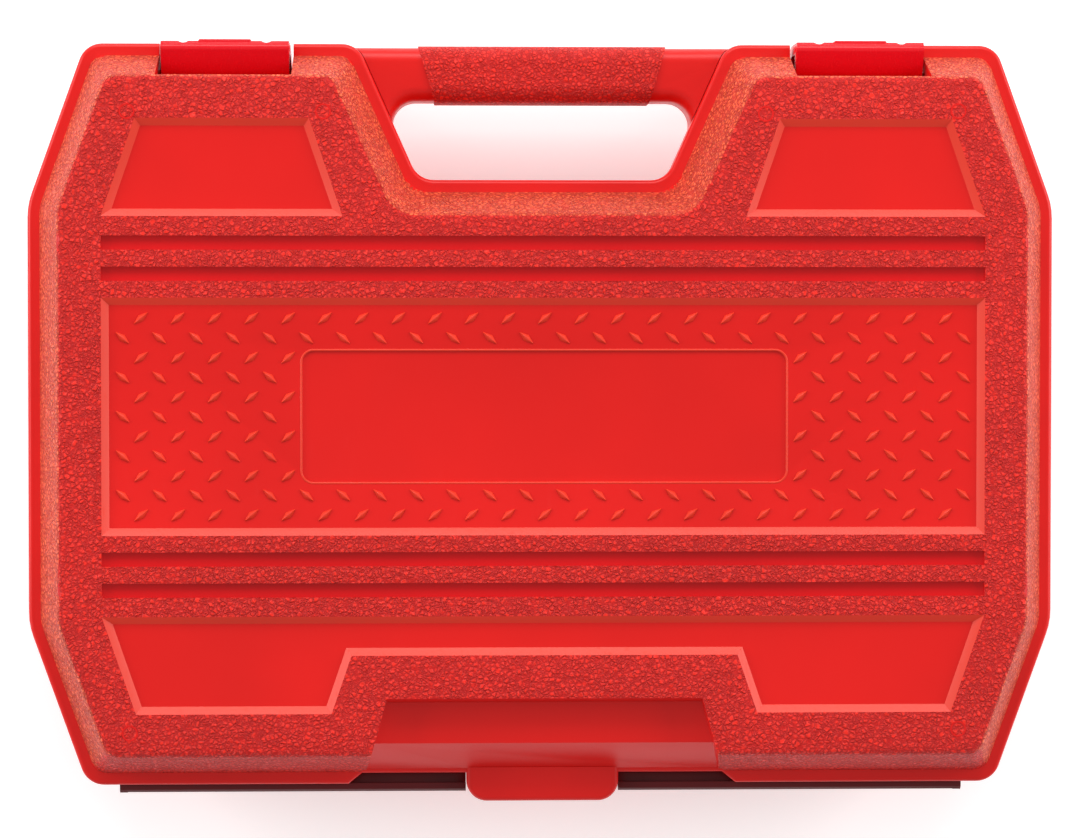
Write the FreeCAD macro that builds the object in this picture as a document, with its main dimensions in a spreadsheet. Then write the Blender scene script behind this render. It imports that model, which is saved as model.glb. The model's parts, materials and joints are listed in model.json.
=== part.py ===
import FreeCAD, Part
import math
import os
import Sketcher

# Socket wrench set in a blow-moulded case. The case lies on its base, +Z up, lid on top.
# The front, with the handle and the latches, is -Y, and the hinge is at the rear, +Y.
# The origin is the middle of the case's footprint, on the surface that it stands on.

doc = FreeCAD.newDocument("socket_wrench_set")
sheet = doc.addObject("Spreadsheet::Sheet", "Sizes")

DIMENSIONS = [
    # case outline at the rim
    ("half_width", 170.2), ("half_depth", 122.8), ("chamfer_start", 69.5), ("chamfer_end", 151.0),
    ("recess_mouth", 61.2), ("recess_root", 41.1), ("recess_floor", 77.9),
    ("rear_notch", 60.0), ("rear_notch_mouth", 64.5), ("rear_notch_floor", 119.2),
    ("rim_band", 3.9), ("slope_run", 8.1), ("rim_height", 5.0), ("skin", 2.5),
    ("lid_height", 28.0), ("base_height", 44.0), ("lid_face_skin", 4.4), ("base_face_skin", 3.5),
    ("rim_corner", 8.0), ("slope_corner", 6.0), ("root_corner", 11.0), ("face_round", 2.6),
    ("rim_round", 1.5),
    # panels in the face
    ("panel_depth", 2.0), ("panel_draft", 2.4), ("groove_depth", 1.8),
    ("panel_half_width", 144.0), ("centre_panel_half_depth", 38.7),
    ("groove_inner", 46.4), ("groove_outer", 56.5), ("groove_width", 4.6),
    ("trapezoid_top", 96.9), ("trapezoid_bottom", 65.1), ("trapezoid_side", 133.0),
    ("trapezoid_inner_top", 76.6), ("trapezoid_inner_bottom", 65.7),
    ("bar_half_width", 63.0), ("bar_foot", 69.5), ("bar_edge", 77.9),
    ("label_half_width", 79.3), ("label_half_depth", 21.7), ("label_depth", 0.7), ("label_corner", 4.0),
    ("tab_recess_depth", 8.0), ("tab_recess_top", 92.0), ("tab_recess_crease", 107.5),
    ("tab_recess_half_width", 51.5), ("tab_recess_mouth", 60.5),
    # latches
    ("latch_centre", 104.4), ("notch_half_width", 22.1), ("latch_half_width", 20.95),
    ("notch_floor", 111.0), ("notch_wall", 2.2), ("notch_depth", 23.0),
    ("latch_pivot_out", 114.9), ("latch_pivot_drop", 15.5), ("pin_radius", 1.5),
    ("running_fit", 0.06), ("latch_barrel", 3.4), ("lift_half_width", 8.6), ("lift_height", 0.6),
    ("scoop_out", 13.6),
    # hinge and tab
    ("web_half_length", 140.5), ("web_reach", 125.7), ("web_thickness", 0.8),
    ("web_half_height", 1.7), ("bead_radius", 1.5), ("web_gap", 25.45),
    # the middle of the case with its tab lies this far behind the middle of the rim
    ("case_shift", 2.6),
    ("tab_half_width", 25.3), ("tab_reach", 128.6), ("tab_thickness", 6.0), ("tab_corner", 6.8),
    # handle
    ("grip_half_length", 41.2), ("handle_inner", 104.2), ("handle_bottom", 19.0), ("handle_top", 3.0),
    ("handle_round", 5.0), ("lid_play", 0.2), ("grip_round", 6.0), ("grip_slant", 5.5), ("web_round", 7.5),
    # inner skins
    ("flange_inset", 7.9), ("pan_inset", 14.0), ("pan_skin", 2.0), ("flange_height", 2.2),
    ("tray_level", 26.0), ("pocket_floor", 5.0), ("cup_wall", 1.4), ("liner_depth", 16.0),
    # drive
    ("square", 12.7), ("square_fit", 0.2), ("tool_axis", 27.0),
]


class Size:
    """A length of the sheet, or a sum made from such lengths, with its expression."""

    def __init__(self, value, text=None):
        self.value = value
        self.text = text or repr(value)

    def __add__(self, other):
        other = size(other)
        return Size(self.value + other.value, "(%s + %s)" % (self.text, other.text))

    def __sub__(self, other):
        other = size(other)
        return Size(self.value - other.value, "(%s - %s)" % (self.text, other.text))

    def __radd__(self, other):
        return size(other) + self

    def __rsub__(self, other):
        return size(other) - self

    def __mul__(self, factor):
        return Size(self.value * factor, "(%s * %r)" % (self.text, factor))

    def __neg__(self):
        return Size(-self.value, "(-1 * %s)" % self.text)


def size(value):
    return value if isinstance(value, Size) else Size(float(value))


class Sheet:
    """The driving dimensions, by name."""


S = Sheet()
for row, (alias, number) in enumerate(DIMENSIONS, 1):
    sheet.set("A%d" % row, alias)
    sheet.set("B%d" % row, str(number))
    sheet.setAlias("B%d" % row, alias)
    setattr(S, alias, Size(number, "Sizes." + alias))
doc.recompute()

PARTING = S.base_height


# ---------------------------------------------------------------- building blocks

def bind(obj, prop, value):
    obj.setExpression(prop, size(value).text)


def place(obj, x=0, y=0, z=0):
    for axis, value in zip("xyz", (x, y, z)):
        bind(obj, "Placement.Base." + axis, value)
    return obj


def box(name, x0, x1, y0, y1, z0, z1):
    """A box between two corners."""
    obj = doc.addObject("Part::Box", name)
    for prop, low, high in (("Length", x0, x1), ("Width", y0, y1), ("Height", z0, z1)):
        bind(obj, prop, size(high) - low)
    return place(obj, x0, y0, z0)


def cylinder(name, radius, height, x=0, y=0, z=0, along="Z"):
    """A cylinder that starts at a point and runs along X or Z."""
    obj = doc.addObject("Part::Cylinder", name)
    bind(obj, "Radius", radius)
    bind(obj, "Height", height)
    if along == "X":
        obj.Placement.Rotation = FreeCAD.Rotation(0, 90, 0)
    return place(obj, x, y, z)


def cone(name, radius_start, radius_end, height, x=0, y=0, z=0, along="Z"):
    obj = doc.addObject("Part::Cone", name)
    bind(obj, "Radius1", radius_start)
    bind(obj, "Radius2", radius_end)
    bind(obj, "Height", height)
    if along == "X":
        obj.Placement.Rotation = FreeCAD.Rotation(0, 90, 0)
    return place(obj, x, y, z)


def prism(name, sides, across_flats, height, x=0, y=0, z=0, along="Z"):
    """A regular prism, by its size across flats."""
    obj = doc.addObject("Part::Prism", name)
    obj.Polygon = sides
    bind(obj, "Circumradius", size(across_flats) * (0.5 / math.cos(math.pi / sides)))
    bind(obj, "Height", height)
    if along == "X":
        obj.Placement.Rotation = FreeCAD.Rotation(0, 90, 0) * FreeCAD.Rotation(180.0 / sides, 0, 0)
    return place(obj, x, y, z)


def ball(name, radius, x, y, z):
    obj = doc.addObject("Part::Sphere", name)
    bind(obj, "Radius", radius)
    return place(obj, x, y, z)


def fuse(name, shapes):
    obj = doc.addObject("Part::MultiFuse", name)
    obj.Shapes = shapes
    obj.Refine = True
    return obj


def cut(name, base, tools):
    obj = doc.addObject("Part::Cut", name)
    obj.Base = base
    obj.Tool = tools[0] if len(tools) == 1 else fuse(name + "_tools", tools)
    obj.Refine = True
    return obj


def polygon(name, points):
    """A closed outline in the XY plane, each corner bound to its two expressions."""
    sketch = doc.addObject("Sketcher::SketchObject", name)
    corners = [(size(x), size(y)) for x, y in points]
    lines = []
    for (x0, y0), (x1, y1) in zip(corners, corners[1:] + corners[:1]):
        start = FreeCAD.Vector(x0.value, y0.value, 0)
        end = FreeCAD.Vector(x1.value, y1.value, 0)
        lines.append(sketch.addGeometry(Part.LineSegment(start, end), False))
    for line, following in zip(lines, lines[1:] + lines[:1]):
        sketch.addConstraint(Sketcher.Constraint("Coincident", line, 2, following, 1))
    for line, (x, y) in zip(lines, corners):
        for kind, value in (("DistanceX", x), ("DistanceY", y)):
            rule = sketch.addConstraint(Sketcher.Constraint(kind, -1, 1, line, 1, value.value))
            sketch.setExpression("Constraints[%d]" % rule, value.text)
    return sketch


def offset(name, outline, inset):
    """The outline moved inwards, with sharp corners."""
    obj = doc.addObject("Part::Offset2D", name)
    obj.Source = outline
    obj.Join = "Intersection"
    obj.Fill = False
    bind(obj, "Value", -size(inset))
    return obj


def extrude(name, outline, height, z=0, taper=None):
    """A solid from an outline; a taper in degrees narrows it on the way up."""
    obj = doc.addObject("Part::Extrusion", name)
    obj.Base = outline
    obj.DirMode = "Custom"
    obj.Dir = FreeCAD.Vector(0, 0, 1)
    obj.Solid = True
    bind(obj, "LengthFwd", height)
    if taper:
        obj.setExpression("TaperAngle", taper)
    return place(obj, z=z)


def fillet(name, base, groups):
    """Rounds edges of a finished solid: each group is a radius and a test of the edge."""
    doc.recompute()
    obj = doc.addObject("Part::Fillet", name)
    obj.Base = base
    chosen = []
    for radius, test in groups:
        for number, edge in enumerate(base.Shape.Edges, 1):
            if test(edge):
                chosen.append((number, size(radius).value, size(radius).value))
    obj.Edges = chosen
    return obj


def middle(edge):
    return edge.valueAt(0.5 * (edge.FirstParameter + edge.LastParameter))


def upright(edge):
    """Whether an edge climbs, as the corners of a wall do."""
    run = edge.valueAt(edge.LastParameter) - edge.valueAt(edge.FirstParameter)
    return run.Length > 0.5 and abs(run.z) > 0.8 * run.Length


def level_at(height, slack=0.02):
    """A test for edges that lie flat at a height."""
    def test(edge):
        box_ = edge.BoundBox
        return abs(box_.ZMin - height) < slack and abs(box_.ZMax - height) < slack
    return test


NODES = []


def node(obj, name):
    """Names a finished piece, and moves it so that the origin is under the middle of the whole case."""
    piece = doc.addObject("Part::Compound", name + "_piece")
    piece.Links = [obj]
    piece.Label = name
    bind(piece, "Placement.Base.y", -S.case_shift)
    NODES.append(piece)
    return piece


# ---------------------------------------------------------------- the two halves of the case

RIGHT_HALF = [
    (S.recess_root, -S.recess_floor), (S.recess_mouth, -S.half_depth), (S.chamfer_end, -S.half_depth),
    (S.half_width, -S.chamfer_start), (S.half_width, S.chamfer_start), (S.chamfer_end, S.half_depth),
    (S.rear_notch_mouth, S.half_depth), (S.rear_notch, S.rear_notch_floor),
]


def across(points):
    """The points followed by their mirror images in X."""
    return points + [(-x, y) for x, y in reversed(points)]


case_outline = polygon("case_outline", across(RIGHT_HALF))
CAVITY_INSET = S.rim_band + S.skin


def notch_blocks(name, half_width, floor, z0, z1):
    """The space of the two latch notches."""
    blocks = []
    for side, centre in (("left", -S.latch_centre), ("right", S.latch_centre)):
        blocks.append(box("%s_%s" % (name, side), centre - half_width, centre + half_width,
                          -S.half_depth - 1, -floor, z0, z1))
    return blocks


def trapezoid_panel(name, corners, height):
    """A sunk panel: its outline on the face, narrowing on the way down."""
    outline = polygon(name + "_outline", corners)
    obj = doc.addObject("Part::Extrusion", name)
    obj.Base = outline
    obj.DirMode = "Custom"
    obj.Dir = FreeCAD.Vector(0, 0, -1)
    obj.Solid = True
    bind(obj, "LengthFwd", S.panel_depth + 0.01)
    obj.setExpression("TaperAngle", "-atan(%s / %s)" % (S.panel_draft.text, S.panel_depth.text))
    return place(obj, z=size(height) + 0.01)


def face_panels(height):
    """What is sunk in the lid's face."""
    cutters = []
    for sign in (1, -1):
        corners = [(S.trapezoid_side * sign, -S.trapezoid_top),
                   (S.panel_half_width * sign, -S.trapezoid_bottom),
                   (S.trapezoid_inner_bottom * sign, -S.trapezoid_bottom),
                   (S.trapezoid_inner_top * sign, -S.trapezoid_top)]
        name = "front_panel_right" if sign > 0 else "front_panel_left"
        cutters.append(trapezoid_panel(name, corners, height))
    cutters.append(trapezoid_panel("centre_panel", across(
        [(S.panel_half_width, -S.centre_panel_half_depth), (S.panel_half_width, S.centre_panel_half_depth)]),
        height))
    cutters.append(trapezoid_panel("rear_panel", across(
        [(S.panel_half_width, S.trapezoid_bottom), (S.trapezoid_side, S.trapezoid_top),
         (S.bar_foot, S.trapezoid_top), (S.bar_half_width, S.bar_edge)]), height))
    for number, centre in enumerate((-S.groove_outer, -S.groove_inner, S.groove_inner, S.groove_outer), 1):
        cutters.append(box("groove_%d" % number, -S.panel_half_width, S.panel_half_width,
                           centre - S.groove_width * 0.5, centre + S.groove_width * 0.5,
                           size(height) - S.groove_depth, size(height) + 1))
    label = box("label_recess_block", -S.label_half_width, S.label_half_width, -S.label_half_depth,
                S.label_half_depth, size(height) - S.panel_depth - S.label_depth, height)
    cutters.append(fillet("label_recess", label, [(S.label_corner, upright)]))
    return cutters


def tab_recess(name, height):
    """The wedge taken out of the face at the middle of the rear edge."""
    plan = polygon(name + "_plan", across([(S.tab_recess_half_width, S.tab_recess_top),
                                           (S.tab_recess_mouth, S.half_depth + 2)]))
    block = extrude(name + "_block", plan, S.base_height, z=size(height) - S.base_height + 1)
    side = polygon(name + "_side", [
        (S.tab_recess_top, size(height) + 2), (S.tab_recess_top, size(height)),
        (S.tab_recess_top + S.panel_depth, size(height) - S.tab_recess_depth),
        (S.tab_recess_crease, size(height) - S.tab_recess_depth),
        (S.rear_notch_floor - 1.5, S.rim_height), (S.half_depth + 2, S.rim_height),
        (S.half_depth + 2, size(height) + 2)])
    # the side view is drawn across the case, so it is turned to run along X
    wedge = doc.addObject("Part::Extrusion", name + "_wedge")
    wedge.Base = side
    wedge.DirMode = "Custom"
    wedge.Dir = FreeCAD.Vector(0, 0, 1)
    wedge.Solid = True
    bind(wedge, "LengthFwd", S.tab_recess_mouth * 2 + 4)
    wedge.Placement.Rotation = FreeCAD.Rotation(FreeCAD.Vector(0, 1, 0), FreeCAD.Vector(0, 0, 1),
                                                FreeCAD.Vector(1, 0, 0), "ZXY")
    place(wedge, x=-S.tab_recess_mouth - 2)
    shape = doc.addObject("Part::Common", name)
    shape.Base = block
    shape.Tool = wedge
    return shape


def slope_body(name, height, rise, taper):
    """The block above the rim, whose sides lean in towards the face."""
    outline = polygon(name + "_foot", across([
        (S.recess_root, -S.recess_floor), (S.recess_mouth, -S.half_depth), (S.chamfer_end, -S.half_depth),
        (S.half_width, -S.chamfer_start), (S.half_width, S.chamfer_start), (S.chamfer_end, S.half_depth)]))
    slope = extrude(name + "_slope", offset(name + "_slope_outline", outline, S.rim_band),
                    rise + 0.5, z=S.rim_height - 0.5, taper=taper)
    slope = fillet(name + "_slope_corners", slope, [
        (S.slope_corner, lambda e: upright(e) and abs(middle(e).x) > 100 and abs(middle(e).y) > 90),
        (S.root_corner, lambda e: upright(e) and -90 < middle(e).y < -60 and abs(middle(e).x) < 60),
        (S.slope_corner, lambda e: upright(e) and middle(e).y < -100 and abs(middle(e).x) < 90),
        (S.rim_corner * 2, lambda e: upright(e) and abs(middle(e).x) > 150 and abs(middle(e).y) < 90)])
    slope = fillet(name + "_slope_rounded", slope, [(S.face_round, level_at(height.value))])
    notch = polygon(name + "_notch_plan", across([
        (S.rear_notch - 0.5, S.rear_notch_floor - 1.6), (S.rear_notch_mouth, S.half_depth - 1),
        (S.rear_notch_mouth, S.half_depth + 1)]))
    return cut(name + "_slope_trimmed", slope, [extrude(name + "_notch_trim", notch, height)])


def half_shell(name, height, face_skin, cutters):
    """One outer half, with the parting plane at z = 0 and its face upwards."""
    slope_rise = size(height) - S.rim_height
    taper = "-atan(%s / %s)" % (S.slope_run.text, slope_rise.text)
    rim = extrude(name + "_rim", case_outline, S.rim_height)
    rim = fillet(name + "_rim_corners", rim, [
        (S.rim_corner, lambda e: upright(e) and abs(middle(e).y) > 115 and abs(middle(e).x) > 100),
        (S.rim_corner, lambda e: upright(e) and middle(e).y < -70 and abs(middle(e).x) < 70),
        (S.rim_corner * 3, lambda e: upright(e) and abs(middle(e).x) > 160)])
    rim = fillet(name + "_rim_rounded", rim, [(S.rim_round, level_at(S.rim_height.value))])
    slope = slope_body(name, height, slope_rise, taper)
    outer = fuse(name + "_outer", [rim, slope])
    cavity = extrude(name + "_cavity_block", offset(name + "_cavity_outline", case_outline, CAVITY_INSET),
                     size(height) - face_skin, z=0, taper=taper)
    kept = notch_blocks(name + "_notch_wall", S.notch_half_width + 3.5, S.notch_floor - S.notch_wall,
                        -1, height)
    kept.append(box(name + "_recess_wall", -S.tab_recess_mouth - 3, S.tab_recess_mouth + 3,
                    S.tab_recess_top - 3, S.half_depth, size(height) - S.tab_recess_depth - 3, height))
    cavity = cut(name + "_cavity", cavity, kept)
    return cut(name + "_body", outer, [cavity] + cutters)


lid_cutters = notch_blocks("lid_notch", S.notch_half_width, S.notch_floor, -1, S.lid_height + 1)
lid_cutters += face_panels(S.lid_height) + [tab_recess("lid_recess", S.lid_height)]
lid_without_tab = half_shell("lid", S.lid_height, S.lid_face_skin, lid_cutters)
tab_plan = polygon("tab_plan", across([
    (S.tab_half_width, S.rear_notch_floor - 2.0), (S.tab_half_width, S.tab_reach)]))
tab = extrude("tab_block", tab_plan, S.tab_thickness - 0.3, z=0.3)
tab = fillet("tab_corners", tab, [
    (S.tab_corner, lambda e: upright(e) and middle(e).y > S.tab_reach.value - 1)])
tab = fillet("tab_rounded", tab, [
    (1.8, lambda e: abs(middle(e).z - S.tab_thickness.value) < 0.01
     and middle(e).y > S.rear_notch_floor.value - 1.9)])
lid_shell = fuse("lid_with_tab", [lid_without_tab, tab])
place(lid_shell, z=PARTING)
node(lid_shell, "lid_shell")

base_cutters = notch_blocks("base_notch", S.notch_half_width, S.notch_floor, -1, S.notch_depth)
base_cutters.append(tab_recess("base_recess", S.base_height))
base_cutters.append(trapezoid_panel("base_panel", across(
    [(S.panel_half_width, -S.groove_outer), (S.panel_half_width, S.groove_outer)]), S.base_height))
for side, centre in (("left", -S.latch_centre), ("right", S.latch_centre)):
    start = centre - S.notch_half_width - 2.0
    base_cutters.append(cylinder("pin_seat_" + side, S.pin_radius, S.notch_half_width * 2 + 4.0,
                                 start, -S.latch_pivot_out, S.latch_pivot_drop, along="X"))
base_upside_down = half_shell("base", S.base_height, S.base_face_skin, base_cutters)
base_shell = doc.addObject("Part::Mirroring", "base_shell_body")
base_shell.Source = base_upside_down
base_shell.Normal = FreeCAD.Vector(0, 0, 1)
place(base_shell, z=PARTING)
node(base_shell, "base_shell")


# ---------------------------------------------------------------- latches, hinge, tab and handle

pins = []
for side, centre in (("left", -S.latch_centre), ("right", S.latch_centre)):
    pins.append(cylinder("latch_pin_" + side, S.pin_radius, S.notch_half_width * 2 + 3.8,
                         centre - S.notch_half_width - 1.9, -S.latch_pivot_out,
                         PARTING - S.latch_pivot_drop, along="X"))
latch_pins = doc.addObject("Part::Compound", "latch_pins_pair")
latch_pins.Links = pins
node(latch_pins, "latch_pins")

# the latch's side view: x is how far it stands out from the middle of the case, y is its height
LATCH_PIVOT_Z = PARTING - S.latch_pivot_drop
LATCH_TOP = PARTING + S.lid_height - 11.0
latch_side = polygon("latch_side", [
    (S.latch_pivot_out - 2.6, LATCH_PIVOT_Z - 2.2), (S.latch_pivot_out + 2.2, LATCH_PIVOT_Z - 3.0),
    (S.latch_pivot_out + 4.6, LATCH_PIVOT_Z - 0.5), (S.half_depth, PARTING - 2.0),
    (S.half_depth, LATCH_TOP - 2.0), (S.half_depth - 2.0, LATCH_TOP),
    (S.notch_floor + 2.4, LATCH_TOP - 4.0), (S.notch_floor + 0.8, LATCH_TOP - 6.0),
    (S.notch_floor + 0.8, LATCH_TOP - 8.8), (S.half_depth - 3.6, LATCH_TOP - 8.0),
    (S.half_depth - 3.6, PARTING - 2.0), (S.latch_pivot_out + 1.6, LATCH_PIVOT_Z + 6.0)])


def latch(side, centre):
    """A snap latch: a bent plate with a barrel at its foot and a hook at its top."""
    plate = doc.addObject("Part::Extrusion", "latch_plate_" + side)
    plate.Base = latch_side
    plate.DirMode = "Custom"
    plate.Dir = FreeCAD.Vector(0, 0, 1)
    plate.Solid = True
    bind(plate, "LengthFwd", S.latch_half_width * 2)
    plate.Placement.Rotation = FreeCAD.Rotation(FreeCAD.Vector(0, -1, 0), FreeCAD.Vector(0, 0, 1),
                                                FreeCAD.Vector(-1, 0, 0), "ZXY")
    place(plate, x=centre + S.latch_half_width)
    rounded = fillet("latch_rounded_" + side, plate, [
        (1.6, lambda e: abs(middle(e).x - centre.value) < 1 and middle(e).z > LATCH_TOP.value - 1),
        (1.2, lambda e: abs(middle(e).x - centre.value) < 1
         and abs(middle(e).z - LATCH_TOP.value + 6.0) < 0.3),
        (1.0, lambda e: abs(middle(e).x - centre.value) < 1
         and abs(middle(e).z - LATCH_PIVOT_Z.value + 0.5) < 0.2)])
    start = centre - S.latch_half_width
    barrel = cylinder("latch_barrel_" + side, S.latch_barrel, S.latch_half_width * 2,
                      start, -S.latch_pivot_out, LATCH_PIVOT_Z, along="X")
    body = fuse("latch_blank_" + side, [rounded, barrel])
    bore = cylinder("latch_bore_" + side, S.pin_radius + S.running_fit, S.latch_half_width * 2 + 2,
                    start - 1, -S.latch_pivot_out, LATCH_PIVOT_Z, along="X")
    lift = box("latch_lift_" + side, centre - S.lift_half_width, centre + S.lift_half_width,
               -S.half_depth - S.lift_height, -S.half_depth + 2, LATCH_TOP - 9.0, LATCH_TOP - 1.6)
    lift = fillet("latch_lift_rounded_" + side, lift, [
        (0.55, lambda e: abs(middle(e).y + (S.half_depth + S.lift_height).value) < 0.01)])
    scoops = [cylinder("latch_scoop_%s_%d" % (side, number), 2.4, 14, centre + S.scoop_out * hand,
                       -S.half_depth - 1.8, LATCH_TOP - 12.0) for number, hand in enumerate((-1, 1), 1)]
    return node(cut("latch_body_" + side, fuse("latch_full_" + side, [body, lift]), [bore] + scoops),
                "latch_" + side)


latch("left", -S.latch_centre)
latch("right", S.latch_centre)

web_outer = polygon("web_outer", [
    (S.half_depth, PARTING - S.web_half_height), (S.web_reach - 0.9, PARTING - S.web_half_height),
    (S.web_reach, PARTING - 0.6), (S.web_reach, PARTING + 0.6),
    (S.web_reach - 0.9, PARTING + S.web_half_height), (S.half_depth, PARTING + S.web_half_height),
    (S.half_depth, PARTING + S.web_half_height - S.web_thickness),
    (S.web_reach - 1.2, PARTING + S.web_half_height - S.web_thickness),
    (S.web_reach - S.web_thickness, PARTING + 0.3), (S.web_reach - S.web_thickness, PARTING - 0.3),
    (S.web_reach - 1.2, PARTING - S.web_half_height + S.web_thickness),
    (S.half_depth, PARTING - S.web_half_height + S.web_thickness)])
ALONG_X = FreeCAD.Rotation(FreeCAD.Vector(0, 1, 0), FreeCAD.Vector(0, 0, 1), FreeCAD.Vector(1, 0, 0), "ZXY")
web_pieces = []
for side, start in (("left", -S.web_half_length), ("right", S.web_gap)):
    web = doc.addObject("Part::Extrusion", "hinge_web_" + side)
    web.Base = web_outer
    web.DirMode = "Custom"
    web.Dir = FreeCAD.Vector(0, 0, 1)
    web.Solid = True
    bind(web, "LengthFwd", S.web_half_length - S.web_gap)
    web.Placement.Rotation = ALONG_X
    place(web, x=start)
    web_pieces.append(web)
    outer_end = -S.web_half_length if side == "left" else S.web_half_length - 2.6
    web_pieces.append(cylinder("web_bead_" + side, S.bead_radius, 2.6, outer_end,
                               S.web_reach - S.bead_radius + 0.2, PARTING, along="X"))
    hand = -1 if side == "left" else 1
    ledge_plan = polygon("ledge_plan_" + side, [
        (S.web_gap * hand, S.rear_notch_floor), (S.rear_notch * hand, S.rear_notch_floor),
        (S.rear_notch_mouth * hand, S.half_depth), (S.rear_notch_mouth * hand, S.half_depth + 0.4),
        (S.web_gap * hand, S.half_depth + 0.4)])
    web_pieces.append(extrude("web_ledge_" + side, ledge_plan, S.web_thickness,
                              z=PARTING - S.web_half_height))
node(fuse("hinge_web_body", web_pieces), "hinge_web")

RECESS_SLANT = (S.recess_mouth.value - S.recess_root.value) / (S.half_depth.value - S.recess_floor.value)


def recess_side(out):
    """How far the side of the hand hole's recess stands from the middle, at a distance from the X axis."""
    return S.recess_root + (size(out) - S.recess_floor) * RECESS_SLANT


WEB_END = S.handle_inner - 14.0
handle_plan = polygon("handle_plan", across([
    (S.recess_mouth + 6.0, -S.half_depth + 0.9), (recess_side(WEB_END) + 9.0, -WEB_END),
    (recess_side(WEB_END) + 0.8, -WEB_END), (recess_side(S.handle_inner) + 0.8, -S.handle_inner)]))
handle = extrude("handle_block", handle_plan, S.handle_bottom + S.handle_top, z=PARTING - S.handle_bottom)
handle = fillet("handle_corners", handle, [
    (S.web_round, lambda e: upright(e) and abs(middle(e).y + S.handle_inner.value) < 0.01)])
handle = fillet("handle_rounded", handle, [
    (S.handle_round, lambda e: abs(middle(e).x) < 1)])
grip_plan = polygon("grip_plan", across([
    (S.grip_half_length, -S.half_depth + 0.3),
    (S.grip_half_length - S.grip_slant, -S.handle_inner + 0.6)]))
grip = extrude("grip_block", grip_plan, S.handle_bottom + S.handle_top + 1.6,
               z=PARTING - S.handle_bottom - 0.8)
grip = fillet("grip_rounded", grip, [
    (S.grip_round, lambda e: abs(middle(e).x) < 1)])
base_solid = doc.addObject("Part::Mirroring", "base_solid")
base_solid.Source = doc.getObject("base_outer")
base_solid.Normal = FreeCAD.Vector(0, 0, 1)
place(base_solid, z=PARTING)
lid_room = extrude("lid_room_block", offset("lid_room_outline", case_outline, -S.lid_play), 10,
                   z=PARTING - 0.3)
lid_room = fillet("lid_room", lid_room, [
    (S.rim_corner, lambda e: upright(e) and middle(e).y < -70 and abs(middle(e).x) < 70)])
node(cut("handle_body", fuse("handle_whole", [handle, grip]), [base_solid, lid_room]), "carry_handle")


# ---------------------------------------------------------------- inner skins

def pan(name, depth, z_flange, z_outer, z_inner, more=0):
    """The flange at the parting plane, the pan that hangs from it, and the pan's hollow."""
    flange = extrude(name + "_flange", offset(name + "_flange_outline", case_outline, S.flange_inset),
                     S.flange_height, z=z_flange)
    outer = extrude(name + "_outer", offset(name + "_outer_outline", case_outline, S.pan_inset), depth,
                    z=z_outer)
    inner = extrude(name + "_inner", offset(name + "_inner_outline", case_outline,
                                            S.pan_inset + S.pan_skin),
                    depth + more, z=z_inner)
    return flange, outer, inner


FLANGE_Z = PARTING - S.flange_height - 0.25
tray_flange, tray_wall, tray_inner = pan("tray", FLANGE_Z - S.tray_level, FLANGE_Z, S.tray_level,
                                         S.tray_level - 1, S.flange_height + 2)
tray_floor = extrude("tray_floor", offset("tray_floor_outline", case_outline, S.pan_inset), S.pan_skin,
                     z=S.tray_level - S.pan_skin)

pockets = []
cups = []


def round_pocket(name, radius, x, y, floor):
    """A round hole with its cup under the tray."""
    pockets.append(cylinder(name + "_hole", radius, PARTING, x, y, floor))
    depth = S.tray_level - size(floor) + S.cup_wall
    cups.append(cylinder(name + "_cup", size(radius) + S.cup_wall, depth - 0.5, x, y,
                         size(floor) - S.cup_wall))


def long_pocket(name, x0, x1, y, half_width, floor):
    """A square channel with its trough under the tray."""
    half = size(half_width)
    wall = S.cup_wall
    pockets.append(box(name + "_channel", x0, x1, size(y) - half, size(y) + half, floor, PARTING))
    cups.append(box(name + "_trough", size(x0) - wall, size(x1) + wall, size(y) - half - wall,
                    size(y) + half + wall, size(floor) - wall, S.tray_level - 0.5))


# ---------------------------------------------------------------- sockets

def drive_hole(name, x, y, z, depth, along="Z"):
    """The square hole that a drive square goes into."""
    half = (S.square + S.square_fit) * 0.5
    if along == "Z":
        return box(name, size(x) - half, size(x) + half, size(y) - half, size(y) + half,
                   size(z) - 1, size(z) + depth)
    return box(name, size(x) - 1, size(x) + depth, size(y) - half, size(y) + half,
               size(z) - half, size(z) + half)


def socket(across_flats, outside, drive_outside, height, x, y):
    """A hexagon socket standing on its drive end in a round pocket."""
    name = "socket_%02d" % across_flats
    outer_radius, drive_radius = outside / 2.0, drive_outside / 2.0
    tall = size(height)
    floor = S.pocket_floor
    radius = max(outer_radius, drive_radius)
    bodies = [cylinder(name + "_drive_end", drive_radius, tall * 0.5, x, y, floor)]
    if abs(outer_radius - drive_radius) < 0.6:
        bodies.append(cylinder(name + "_nose", outer_radius, tall * 0.52, x, y, floor + tall * 0.48))
    else:
        bodies.append(cone(name + "_shoulder", drive_radius, outer_radius, tall * 0.08, x, y,
                           floor + tall * 0.44))
        bodies.append(cylinder(name + "_nose", outer_radius, tall * 0.48, x, y, floor + tall * 0.52))
    blank = fuse(name + "_blank", bodies)
    top = floor.value + height
    bottom = floor.value
    blank = fillet(name + "_rounded", blank, [
        (0.8, lambda e: level_at(top)(e) or level_at(bottom)(e))])
    hexagon = prism(name + "_hexagon", 6, across_flats + 0.15, tall * 0.55, x, y, floor + tall * 0.5)
    lead = cone(name + "_lead", across_flats * 0.5 + 0.1, across_flats * 0.58 + 0.9,
                across_flats * 0.08 + 0.8, x, y, floor + tall - across_flats * 0.08 - 0.79)
    relief_radius = min(across_flats * 0.5, S.square.value * 0.5 + 2.0)
    relief = cylinder(name + "_relief", relief_radius, tall * 0.12, x, y, floor + tall * 0.39)
    drive = drive_hole(name + "_square", x, y, floor, tall * 0.5)
    node(cut(name + "_body", blank, [hexagon, lead, relief, drive]), name)
    round_pocket(name, radius + 0.5, x, y, floor)


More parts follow.
